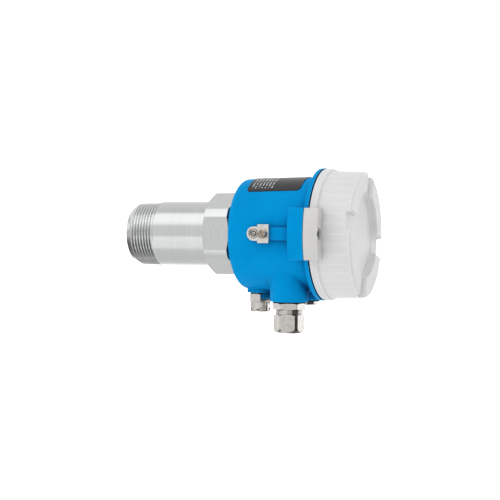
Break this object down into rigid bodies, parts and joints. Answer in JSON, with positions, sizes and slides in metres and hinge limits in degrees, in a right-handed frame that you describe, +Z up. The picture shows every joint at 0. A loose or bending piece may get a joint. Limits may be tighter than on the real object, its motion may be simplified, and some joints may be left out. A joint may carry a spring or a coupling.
{
  "type": "microwave barrier sensor",
  "caption": "Horizontal microwave barrier sensor: steel threaded window end with a wrench hexagon, blue cast housing with cable gland, earth terminal and clamped screw cover.",
  "frame": {"origin": "middle of the window face, at the tip of the process thread", "axes": "+X along the sensor from the window to the cover, +Z up, cable gland down, earth terminal and cover clamp on -Y"},
  "size_m": [0.1785, 0.1039, 0.1175],
  "materials": {
    "stainless": "fine-turned stainless steel",
    "window_polymer": "machined PTFE",
    "black_rubber": "moulded elastomer",
    "machined_aluminium": "machined",
    "board": "glass-fibre laminate",
    "brass": "turned",
    "lead_jacket": "extruded",
    "blue_enamel": "powder-coated die casting",
    "steel": "plated",
    "cover_polymer": "moulded, fine satin",
    "clamp_metal": "satin light grey coating",
    "screw_steel": "dark stainless",
    "nameplate_film": "printed foil",
    "bright_steel": "pressed, bright",
    "nickel": "nickel-plated brass",
    "membrane": "expanded PTFE film",
    "claw_polymer": "moulded",
    "insert_polymer": "moulded",
    "terminal_polymer": "moulded",
    "terminal_metal": "zinc-plated",
    "knob_polymer": "moulded",
    "switch_polymer": "moulded",
    "slider_polymer": "moulded",
    "light_polymer": "clear moulded"
  },
  "bodies": {
    "root": {"process_connection": "stainless", "process_seal": "black_rubber", "antenna_window": "window_polymer", "window_seal": "black_rubber", "antenna_horn": "machined_aluminium", "microwave_module": "machined_aluminium", "module_board": "board", "module_retainer": "brass", "signal_lead": "lead_jacket", "housing": "blue_enamel", "locknut": "steel", "nameplate": "nameplate_film", "ground_tab": "bright_steel", "vent_seal": "black_rubber", "vent_body": "nickel", "vent_membrane": "membrane", "vent_cap": "nickel", "gland_seal": "black_rubber", "gland_body": "nickel", "gland_insert": "black_rubber", "electronics_insert": "insert_polymer", "electronics_board": "board", "insert_screws": "steel", "terminal_block": "terminal_polymer", "terminal_screws": "terminal_metal", "switch_block": "switch_polymer", "status_light": "light_polymer"},
    "cover_carriage": {"cover_seal": "black_rubber"},
    "cover": {"cover": "cover_polymer"},
    "cover_clamp": {"cover_clamp": "clamp_metal"},
    "clamp_screw": {"clamp_screw": "screw_steel"},
    "ground_clamp": {"ground_clamp": "bright_steel", "ground_spring_washer": "bright_steel"},
    "ground_screw": {"ground_screw": "bright_steel"},
    "gland_carriage": {"gland_claw": "claw_polymer"},
    "gland_nut": {"gland_nut": "nickel"},
    "plug_carriage": {"plug_seal": "black_rubber"},
    "blanking_plug": {"blanking_plug": "nickel"},
    "sensitivity_knob": {"sensitivity_knob": "knob_polymer"},
    "delay_knob": {"delay_knob": "knob_polymer"},
    "switch_slider_1": {"switch_slider_1": "slider_polymer"},
    "switch_slider_2": {"switch_slider_2": "slider_polymer"},
    "switch_slider_3": {"switch_slider_3": "slider_polymer"},
    "switch_slider_4": {"switch_slider_4": "slider_polymer"}
  },
  "joints": [
    {"name": "cover_travel", "type": "slide", "parent": "root", "child": "cover_carriage", "axis": [1, 0, 0], "range_m": [0, 0.012]},
    {"name": "cover_turn", "type": "hinge", "parent": "cover_carriage", "child": "cover", "pos_m": [0.149, 0, 0], "axis": [1, 0, 0], "range_deg": [0, 2160.5]},
    {"name": "clamp_travel", "type": "slide", "parent": "root", "child": "cover_clamp", "axis": [1, 0, 0], "range_m": [0, 0.0035]},
    {"name": "clamp_turn", "type": "hinge", "parent": "cover_clamp", "child": "clamp_screw", "pos_m": [0.1538, -0.05195, 0], "axis": [1, 0, 0], "range_deg": [0, 1800.5]},
    {"name": "ground_clamp_travel", "type": "slide", "parent": "root", "child": "ground_clamp", "axis": [0, -1, 0], "range_m": [0, 0.0028]},
    {"name": "ground_clamp_turn", "type": "hinge", "parent": "ground_clamp", "child": "ground_screw", "pos_m": [0.1169, -0.047, 0], "axis": [0, -1, 0], "range_deg": [0, 1440.5]},
    {"name": "gland_travel", "type": "slide", "parent": "root", "child": "gland_carriage", "axis": [0, 0, -1], "range_m": [0, 0.0045]},
    {"name": "gland_turn", "type": "hinge", "parent": "gland_carriage", "child": "gland_nut", "pos_m": [0.1266, -0.017, -0.0571], "axis": [0, 0, -1], "range_deg": [0, 1080.5]},
    {"name": "plug_travel", "type": "slide", "parent": "root", "child": "plug_carriage", "axis": [0, 0, -1], "range_m": [0, 0.009]},
    {"name": "plug_turn", "type": "hinge", "parent": "plug_carriage", "child": "blanking_plug", "pos_m": [0.1266, 0.017, -0.0488], "axis": [0, 0, -1], "range_deg": [0, 2160.5]},
    {"name": "sensitivity_knob_turn", "type": "hinge", "parent": "root", "child": "sensitivity_knob", "pos_m": [0.11605, -0.015, 0.011], "axis": [1, 0, 0], "range_deg": [-140, 140]},
    {"name": "delay_knob_turn", "type": "hinge", "parent": "root", "child": "delay_knob", "pos_m": [0.11605, 0.015, 0.011], "axis": [1, 0, 0], "range_deg": [-140, 140]},
    {"name": "switch_1_slide", "type": "slide", "parent": "root", "child": "switch_slider_1", "axis": [0, 0, 1], "range_m": [0, 0.002]},
    {"name": "switch_2_slide", "type": "slide", "parent": "root", "child": "switch_slider_2", "axis": [0, 0, 1], "range_m": [0, 0.002]},
    {"name": "switch_3_slide", "type": "slide", "parent": "root", "child": "switch_slider_3", "axis": [0, 0, 1], "range_m": [0, 0.002]},
    {"name": "switch_4_slide", "type": "slide", "parent": "root", "child": "switch_slider_4", "axis": [0, 0, 1], "range_m": [0, 0.002]}
  ],
  "couplings": [
    {"joint": "cover_turn", "follows": "cover_travel", "rad_per_m": 3141.6},
    {"joint": "clamp_turn", "follows": "clamp_travel", "rad_per_m": 8976},
    {"joint": "ground_clamp_turn", "follows": "ground_clamp_travel", "rad_per_m": 8976},
    {"joint": "gland_turn", "follows": "gland_travel", "rad_per_m": 4188.8},
    {"joint": "plug_turn", "follows": "plug_travel", "rad_per_m": 4188.8}
  ]
}
